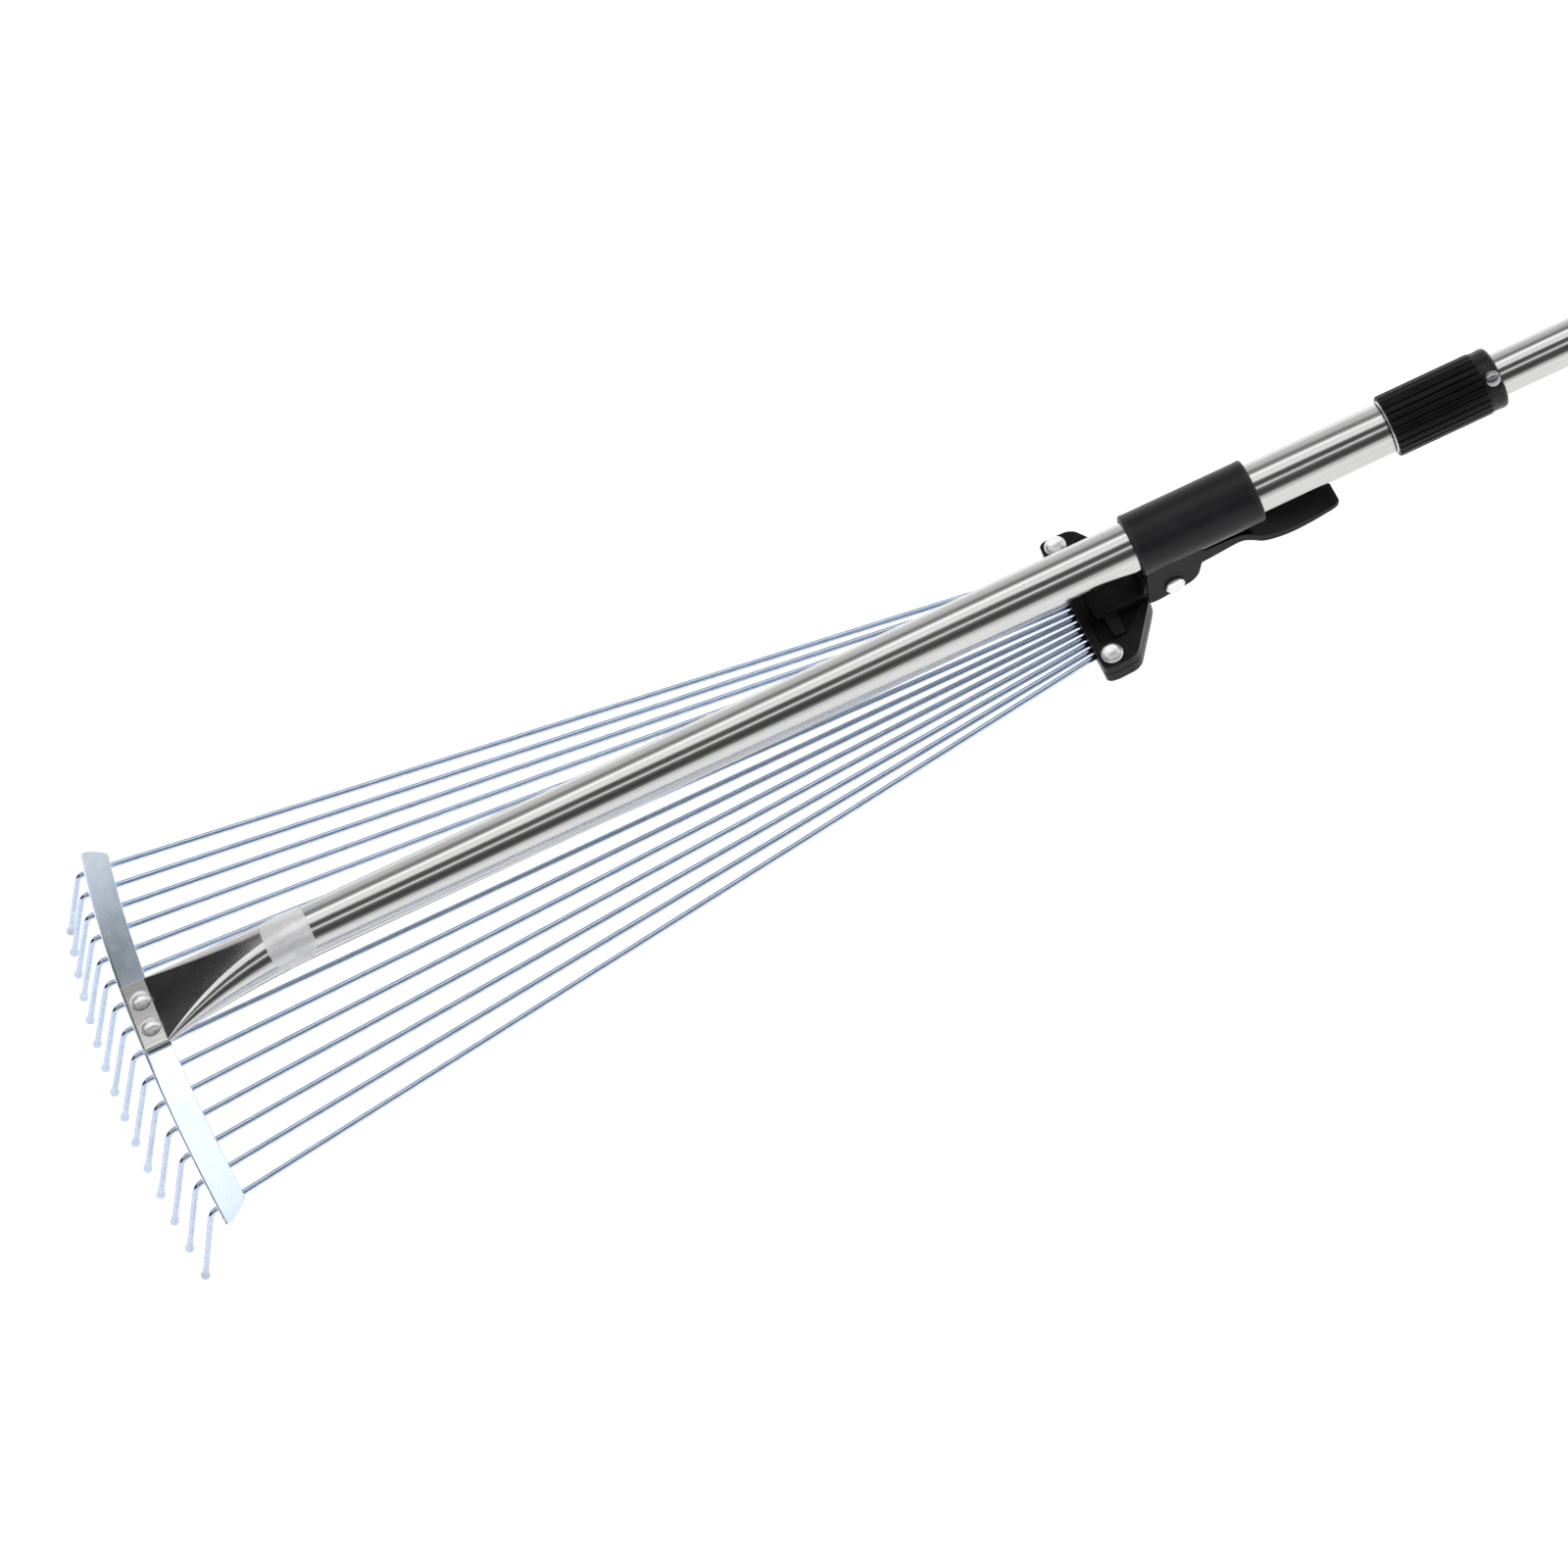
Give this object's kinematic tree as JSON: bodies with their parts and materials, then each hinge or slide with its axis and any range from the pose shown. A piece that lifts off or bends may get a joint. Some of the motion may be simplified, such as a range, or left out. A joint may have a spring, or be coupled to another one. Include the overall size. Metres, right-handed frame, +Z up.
{
  "type": "leaf rake",
  "caption": "Adjustable leaf rake: hooked wire tines pass an arched bar and spread as a cam-locked slider moves on a twist-lock telescopic handle.",
  "frame": {"origin": "under the middle of the whole rake, on the level of the lowest tine tips", "axes": "+X along the handle towards the grip, +Y across the fan, +Z up, away from the tine tips"},
  "size_m": [0.9304, 0.1944, 0.0768],
  "materials": {
    "chromed_tube": "polished",
    "zinc_sheet": "zinc plated, satin",
    "zinc_wire": "zinc plated, bright",
    "rivet_steel": "bright",
    "black_plastic": "satin moulded",
    "gloss_plastic": "gloss",
    "grip_rubber": "matte",
    "label_film": "satin film",
    "nylon": "natural nylon"
  },
  "bodies": {
    "tube_and_bar": {"main_tube": "chromed_tube", "crossbar": "zinc_sheet", "bar_rivet_far": "rivet_steel", "bar_rivet_near": "rivet_steel", "label": "label_film", "lock_sleeve": "black_plastic", "sleeve_stud": "gloss_plastic"},
    "slider": {"slider_body": "black_plastic", "tine_cover": "black_plastic", "holder_rivet_far": "rivet_steel", "holder_rivet_near": "rivet_steel", "lever_pin": "rivet_steel", "pin_clip": "rivet_steel", "tine_08": "zinc_wire"},
    "tine_01_wire": {"tine_01": "zinc_wire"},
    "tine_02_wire": {"tine_02": "zinc_wire"},
    "tine_03_wire": {"tine_03": "zinc_wire"},
    "tine_04_wire": {"tine_04": "zinc_wire"},
    "tine_05_wire": {"tine_05": "zinc_wire"},
    "tine_06_wire": {"tine_06": "zinc_wire"},
    "tine_07_wire": {"tine_07": "zinc_wire"},
    "tine_09_wire": {"tine_09": "zinc_wire"},
    "tine_10_wire": {"tine_10": "zinc_wire"},
    "tine_11_wire": {"tine_11": "zinc_wire"},
    "tine_12_wire": {"tine_12": "zinc_wire"},
    "tine_13_wire": {"tine_13": "zinc_wire"},
    "tine_14_wire": {"tine_14": "zinc_wire"},
    "tine_15_wire": {"tine_15": "zinc_wire"},
    "lever": {"cam_lever": "black_plastic"},
    "lock_bush": {"lock_expander": "nylon"},
    "upper_handle": {"upper_tube": "chromed_tube", "tube_plug": "nylon", "lock_screw": "rivet_steel", "grip": "grip_rubber", "hang_eye": "black_plastic"},
    "cone": {"lock_cone": "nylon"}
  },
  "joints": [
    {"name": "slider_slide", "type": "slide", "parent": "tube_and_bar", "child": "slider", "axis": [-1, 0, 0], "range_m": [0, 0.2]},
    {"name": "tine_01_swing", "type": "hinge", "parent": "slider", "child": "tine_01_wire", "pos_m": [-0.00777, 0.0224, 0.0359], "axis": [0, 0, 1], "range_deg": [-7.43, 0.2]},
    {"name": "tine_02_swing", "type": "hinge", "parent": "slider", "child": "tine_02_wire", "pos_m": [-0.00777, 0.0192, 0.0359], "axis": [0, 0, 1], "range_deg": [-6.44, 0.2]},
    {"name": "tine_03_swing", "type": "hinge", "parent": "slider", "child": "tine_03_wire", "pos_m": [-0.00777, 0.016, 0.0359], "axis": [0, 0, 1], "range_deg": [-5.43, 0.2]},
    {"name": "tine_04_swing", "type": "hinge", "parent": "slider", "child": "tine_04_wire", "pos_m": [-0.00777, 0.0128, 0.0359], "axis": [0, 0, 1], "range_deg": [-4.41, 0.2]},
    {"name": "tine_05_swing", "type": "hinge", "parent": "slider", "child": "tine_05_wire", "pos_m": [-0.00777, 0.0096, 0.0359], "axis": [0, 0, 1], "range_deg": [-3.37, 0.2]},
    {"name": "tine_06_swing", "type": "hinge", "parent": "slider", "child": "tine_06_wire", "pos_m": [-0.00777, 0.0064, 0.0359], "axis": [0, 0, 1], "range_deg": [-2.32, 0.2]},
    {"name": "tine_07_swing", "type": "hinge", "parent": "slider", "child": "tine_07_wire", "pos_m": [-0.00777, 0.0032, 0.0359], "axis": [0, 0, 1], "range_deg": [-1.26, 0.2]},
    {"name": "tine_09_swing", "type": "hinge", "parent": "slider", "child": "tine_09_wire", "pos_m": [-0.00777, -0.0032, 0.0359], "axis": [0, 0, 1], "range_deg": [-0.2, 1.26]},
    {"name": "tine_10_swing", "type": "hinge", "parent": "slider", "child": "tine_10_wire", "pos_m": [-0.00777, -0.0064, 0.0359], "axis": [0, 0, 1], "range_deg": [-0.2, 2.32]},
    {"name": "tine_11_swing", "type": "hinge", "parent": "slider", "child": "tine_11_wire", "pos_m": [-0.00777, -0.0096, 0.0359], "axis": [0, 0, 1], "range_deg": [-0.2, 3.37]},
    {"name": "tine_12_swing", "type": "hinge", "parent": "slider", "child": "tine_12_wire", "pos_m": [-0.00777, -0.0128, 0.0359], "axis": [0, 0, 1], "range_deg": [-0.2, 4.41]},
    {"name": "tine_13_swing", "type": "hinge", "parent": "slider", "child": "tine_13_wire", "pos_m": [-0.00777, -0.016, 0.0359], "axis": [0, 0, 1], "range_deg": [-0.2, 5.43]},
    {"name": "tine_14_swing", "type": "hinge", "parent": "slider", "child": "tine_14_wire", "pos_m": [-0.00777, -0.0192, 0.0359], "axis": [0, 0, 1], "range_deg": [-0.2, 6.44]},
    {"name": "tine_15_swing", "type": "hinge", "parent": "slider", "child": "tine_15_wire", "pos_m": [-0.00777, -0.0224, 0.0359], "axis": [0, 0, 1], "range_deg": [-0.2, 7.43]},
    {"name": "lever_swing", "type": "hinge", "parent": "slider", "child": "lever", "pos_m": [0.02283, 0, 0.0424], "axis": [0, 1, 0], "range_deg": [0, 90]},
    {"name": "handle_slide", "type": "slide", "parent": "tube_and_bar", "child": "lock_bush", "axis": [1, 0, 0], "range_m": [0, 0.45]},
    {"name": "handle_twist", "type": "hinge", "parent": "lock_bush", "child": "upper_handle", "pos_m": [0.05823, 0, 0.06259], "axis": [1, 0, 0], "range_deg": [0, 360]},
    {"name": "cone_travel", "type": "slide", "parent": "lock_bush", "child": "cone", "axis": [1, 0, 0], "range_m": [-0.0016, 0.0001]}
  ],
  "couplings": [
    {"joint": "tine_01_swing", "follows": "slider_slide", "rad_per_m": -0.63125},
    {"joint": "tine_02_swing", "follows": "slider_slide", "rad_per_m": -0.54479},
    {"joint": "tine_03_swing", "follows": "slider_slide", "rad_per_m": -0.45664},
    {"joint": "tine_04_swing", "follows": "slider_slide", "rad_per_m": -0.36707},
    {"joint": "tine_05_swing", "follows": "slider_slide", "rad_per_m": -0.27634},
    {"joint": "tine_06_swing", "follows": "slider_slide", "rad_per_m": -0.18472},
    {"joint": "tine_07_swing", "follows": "slider_slide", "rad_per_m": -0.09251},
    {"joint": "tine_09_swing", "follows": "slider_slide", "rad_per_m": 0.09251},
    {"joint": "tine_10_swing", "follows": "slider_slide", "rad_per_m": 0.18472},
    {"joint": "tine_11_swing", "follows": "slider_slide", "rad_per_m": 0.27634},
    {"joint": "tine_12_swing", "follows": "slider_slide", "rad_per_m": 0.36707},
    {"joint": "tine_13_swing", "follows": "slider_slide", "rad_per_m": 0.45664},
    {"joint": "tine_14_swing", "follows": "slider_slide", "rad_per_m": 0.54479},
    {"joint": "tine_15_swing", "follows": "slider_slide", "rad_per_m": 0.63125},
    {"joint": "cone_travel", "follows": "handle_twist", "m_per_rad": -0.00023873}
  ]
}
